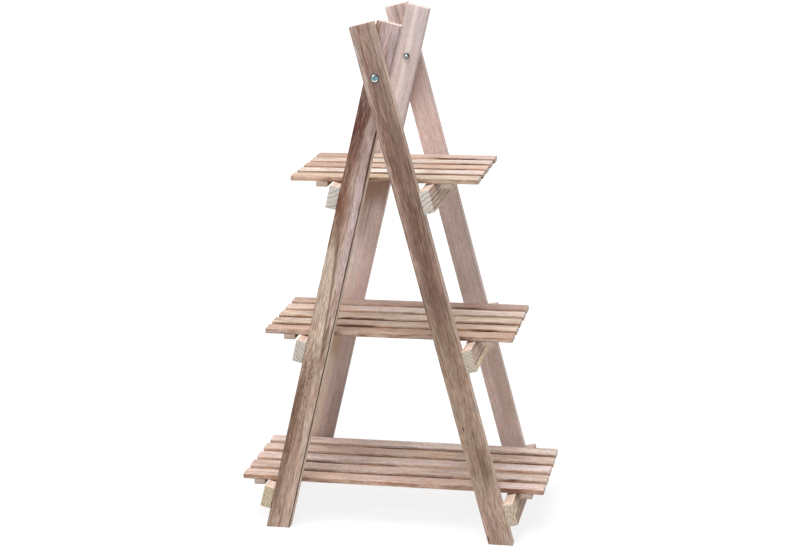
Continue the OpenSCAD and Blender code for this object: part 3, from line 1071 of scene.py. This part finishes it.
boltZincAndReflections = {
    "pale": (208, 220, 218), "deep": (170, 186, 186), "rough": 0.24, "spot": 2.2,
    "fade": 0.5, "arcFade": 14,
    "beyond": 163.2,  # mm from the middle of the stand
    # painted reflections and highlight: a teal middle with a dark dot, a pale crescent below, a white
    # highlight up to the left, dark arcs over the lamp's own highlight, a dark rim, and a dark dot on the
    # bolt's inner end
    "zones": [
        {"from": -1, "to": 20, "tone": (130, 148, 153), "depth": 0.9},
        {"from": -1, "to": 3.9, "tone": (102, 140, 147), "depth": 0.8},
        {"from": 4.4, "to": 6.7, "arc": (-150, -30), "tone": (226, 232, 228), "depth": 0.95},
        {"from": -1, "to": 1.1, "tone": (62, 100, 108), "depth": 0.8},
        {"from": 4.4, "to": 9, "arc": (40, 96), "tone": (84, 88, 92), "depth": 0.9},
        {"from": 3.8, "to": 7, "arc": (58, 94), "tone": (52, 66, 72), "depth": 1.1},
        {"from": 4.4, "to": 6.9, "arc": (108, 136), "tone": (255, 255, 255), "depth": 1.3},
        {"from": 4.2, "to": 6.8, "arc": (-20, 26), "tone": (120, 146, 156), "depth": 0.9},
        {"from": 6.8, "to": 9, "tone": (42, 40, 38), "depth": 1.2},
        {"from": -1, "to": 1.3, "tone": (70, 92, 92), "depth": 1.1, "nearMiddle": True},
    ],
}
nutZincAndReflections = {
    "pale": (214, 226, 222), "deep": (176, 194, 192), "rough": 0.3, "spot": 1.8, "fade": 0.3, "beyond": 100,
    # painted reflection: a dark outline over the nut's chamfers and flats
    "zones": [{"from": 4.0, "to": 9, "tone": (34, 42, 40), "depth": 1.3}],
}
washerZinc = {"pale": (196, 198, 196), "deep": (150, 152, 150), "rough": 0.36, "spot": 1.8}
boltLook = {
    "length": 50, "shank": 6, "head": 16, "headHeight": 3.8, "rim": 0.35, "domeSteps": 8,
    "neck": 4, "neckWidth": 6, "neckSunk": 0.5, "neckArris": 0.4,
    "pitch": 1, "threaded": 18, "threadDepth": 0.55, "threadSteps": 24, "spareTurns": 2, "point": 0.6,
}
nutLook = {
    "flats": 10, "height": 5, "below": 2.8, "bore": 6.1, "countersink": 0.5, "turned": 0.4, "steps": 96,
}
washerLook = {"across": 12, "thickness": 1.6, "bore": 6.3, "rounded": 0.3}
hardwareSmooth = 38  # degrees, up to which an edge is shaded round
joined = 0.002  # mm, points nearer than this are merged


def drawProfile(name, profile):
    # a line through points of (radius, height) in mm, left in edit mode
    radius, height = profile[0]
    bpy.ops.object.select_all(action="DESELECT")
    bpy.ops.mesh.primitive_plane_add(size=mm, location=(radius * mm, 0, height * mm))
    line = bpy.context.object
    line.name = name
    bpy.ops.object.transform_apply(location=True, rotation=True, scale=True)
    bpy.ops.object.mode_set(mode="EDIT")
    bpy.ops.mesh.select_mode(type="VERT")
    bpy.ops.mesh.select_all(action="SELECT")
    bpy.ops.mesh.merge(type="CENTER")
    for nextRadius, nextHeight in profile[1:]:
        step = ((nextRadius - radius) * mm, 0, (nextHeight - height) * mm)
        bpy.ops.mesh.extrude_region_move(TRANSFORM_OT_translate={"value": step})
        radius, height = nextRadius, nextHeight
    return line


def closeUp():
    # in edit mode, merges the seams and poles of a turned shape and faces it outwards
    bpy.ops.mesh.select_all(action="SELECT")
    bpy.ops.mesh.remove_doubles(threshold=joined * mm)
    bpy.ops.mesh.normals_make_consistent(inside=False)
    bpy.ops.object.mode_set(mode="OBJECT")


def turn(name, profile, steps=48):
    # a solid turned on the z axis
    solid = drawProfile(name, profile)
    bpy.ops.mesh.select_all(action="SELECT")
    bpy.ops.mesh.spin(steps=steps, angle=math.tau, center=(0, 0, 0), axis=(0, 0, 1))
    closeUp()
    return solid


def combine(solid, tool, operation):
    # adds, cuts or keeps what two solids share, and uses the tool up
    select(solid)
    change = solid.modifiers.new("combine", "BOOLEAN")
    change.operation = operation
    change.object = tool
    change.solver = "EXACT"
    bpy.ops.object.modifier_apply(modifier=change.name)
    bpy.data.objects.remove(tool)
    return solid


def windThread(look):
    # one pitch of a V thread, screwed up along the shank and cut square at both ends
    crest = look["shank"] / 2
    root = crest - look["threadDepth"]
    pitch = look["pitch"]
    start = look["length"] - look["threaded"] - look["spareTurns"] * pitch
    shape = [(root, 0), (crest, 0.44), (crest, 0.56), (root, 1)]  # radius in mm, height in pitches
    thread = drawProfile("thread", [(radius, start + height * pitch) for radius, height in shape])
    bpy.ops.object.mode_set(mode="OBJECT")
    screw = thread.modifiers.new("screw", "SCREW")
    screw.steps = look["threadSteps"]
    screw.render_steps = look["threadSteps"]
    screw.iterations = look["threaded"] + 2 * look["spareTurns"]
    screw.screw_offset = pitch * mm
    screw.use_merge_vertices = True
    screw.merge_threshold = joined * mm
    bpy.ops.object.modifier_apply(modifier=screw.name)
    bpy.ops.object.mode_set(mode="EDIT")
    bpy.ops.mesh.select_all(action="SELECT")
    bpy.ops.mesh.remove_doubles(threshold=joined * mm)
    for height, up in ((start + 1.5 * pitch, -1), (look["length"] + 0.7 * pitch, 1)):
        bpy.ops.mesh.select_all(action="SELECT")
        bpy.ops.mesh.bisect(
            plane_co=(0, 0, height * mm), plane_no=(0, 0, up), use_fill=True, clear_outer=True
        )
    closeUp()
    return thread


def forgeBolt(look):
    head, height, shank = look["head"] / 2, look["headHeight"], look["shank"] / 2
    dome = (head ** 2 + height ** 2) / (2 * height)
    widest = math.asin((head - look["rim"]) / dome)
    angles = [widest * step / look["domeSteps"] for step in range(look["domeSteps"] + 1)]
    arc = [(dome * math.sin(angle), dome - height - dome * math.cos(angle)) for angle in angles]
    plain = look["length"] - look["threaded"]
    profile = arc + [(head, -look["rim"]), (head, 0), (shank, 0), (shank, plain), (0, plain)]
    bolt = turn("bolt", profile)

    # the square neck starts a little inside the head
    neck, sunk, wide = look["neck"], look["neckSunk"], look["neckWidth"]
    square = addBlock("neck", (wide, wide, neck + sunk), (neck - sunk) / 2)
    bpy.ops.object.mode_set(mode="EDIT")
    pickEdges(square, lambda edge: runsAlong(edge, 2))
    bpy.ops.mesh.bevel(offset=look["neckArris"] * mm, segments=3, affect="EDGES")
    bpy.ops.object.mode_set(mode="OBJECT")
    combine(bolt, square, "UNION")

    # the thread is kept where it lies in a turned blank with a chamfered point, which clears its crests
    point, overlap, clear = look["point"], 0.4, 0.2
    blank = turn("blank", [
        (0, plain - overlap), (shank + clear, plain - overlap),
        (shank + clear, look["length"] - point - clear),
        (shank - point, look["length"]), (0, look["length"]),
    ])
    combine(bolt, combine(windThread(look), blank, "INTERSECT"), "UNION")
    return bolt


def forgeNut(look, bolt):
    top = bolt["length"] - look["below"]
    base = top - look["height"]
    toCorner = math.radians(30)  # round from the middle of a flat
    corner = look["flats"] / 2 / math.cos(toCorner)
    past, spare = 1, 0.1  # mm that the blank and the turned shapes reach further than the nut
    bpy.ops.object.select_all(action="DESELECT")
    bpy.ops.mesh.primitive_cylinder_add(
        vertices=6, radius=corner * mm, depth=(look["height"] + past) * mm,
        location=(0, 0, (base + top) / 2 * mm), rotation=(0, 0, toCorner),
    )
    nut = bpy.context.object
    nut.name = "nut"
    bpy.ops.object.transform_apply(location=True, rotation=True, scale=True)

    # its corners are turned off at both faces, and its bore is countersunk from both
    inner, outer, turned = look["flats"] / 2 - spare, corner + spare, look["turned"]
    combine(nut, turn("turned", [
        (0, base), (inner, base), (outer, base + turned), (outer, top - turned), (inner, top), (0, top),
    ], look["steps"]), "INTERSECT")
    bore, sink = look["bore"] / 2, look["countersink"]
    combine(nut, turn("bore", [
        (0, base - past), (bore + sink + past, base - past), (bore, base + sink), (bore, top - sink),
        (bore + sink + past, top + past), (0, top + past),
    ]), "DIFFERENCE")
    return nut


def stampWasher(look, nut, bolt):
    top = bolt["length"] - nut["below"] - nut["height"]
    base = top - look["thickness"]
    bore, outside, rounded = look["bore"] / 2, look["across"] / 2, look["rounded"]
    profile = [
        (bore, base), (outside - rounded / 3, base), (outside, base + rounded / 3),
        (outside, top - rounded), (outside - rounded * 0.3, top - rounded * 0.3), (outside - rounded, top),
        (bore + rounded, top), (bore + rounded * 0.3, top - rounded * 0.3), (bore, top - rounded),
        (bore, base),
    ]
    return turn("washer", profile)


hardware = {
    "pivot_bolt": (forgeBolt(boltLook), boltZincAndReflections),
    "pivot_nut": (forgeNut(nutLook, boltLook), nutZincAndReflections),
    "nut_washer": (stampWasher(washerLook, nutLook, boltLook), washerZinc),
}
for seed, (piece, (model, finish)) in enumerate(hardware.items()):
    zinc = steelMaterial(piece, finish, 3 + seed, pivotHeight)
    select(model)
    bpy.ops.object.shade_smooth_by_angle(angle=math.radians(hardwareSmooth))
    for side, toMiddle in (("near", 1), ("far", -1)):
        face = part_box(f"{side}_outer_leg")[0 if toMiddle > 0 else 1].y
        place = Matrix.Translation((0, face, pivotHeight))
        place = place @ Matrix.Rotation(math.radians(-legSize["lean"]), 4, "Y")
        place = place @ Matrix.Rotation(math.radians(-90 * toMiddle), 4, "X")
        settle(placed(copied(model, f"{side}_{piece}_piece"), place), f"{side}_{piece}", zinc)
    bpy.data.objects.remove(model)
print("pivot hardware made")


scene = bpy.context.scene
scene.view_settings.view_transform = "Standard"
